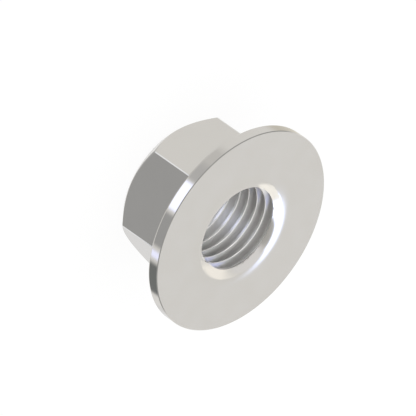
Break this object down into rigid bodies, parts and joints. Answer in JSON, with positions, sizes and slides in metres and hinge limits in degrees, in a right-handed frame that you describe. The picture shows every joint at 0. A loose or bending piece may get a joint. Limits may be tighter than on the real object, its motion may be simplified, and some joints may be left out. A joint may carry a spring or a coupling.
{
  "type": "hex flange nut",
  "caption": "One-piece steel hex lock nut with a wide round flange: a chamfered hexagon to turn it, a flat bearing face, and a right-hand threaded through hole.",
  "frame": {"origin": "centre of the hexagon's free end face, on the thread's axis, where the nut stands", "axes": "+Z along the thread's axis towards the flange's bearing face; +X through a corner of the hexagon; +Y square to one of its flats"},
  "size_m": [0.0264, 0.0262, 0.0113],
  "materials": {
    "steel": "smooth bright zinc-plated steel, with fine turning marks on the bearing face"
  },
  "bodies": {
    "root": {"flange_nut": "steel"}
  },
  "joints": []
}
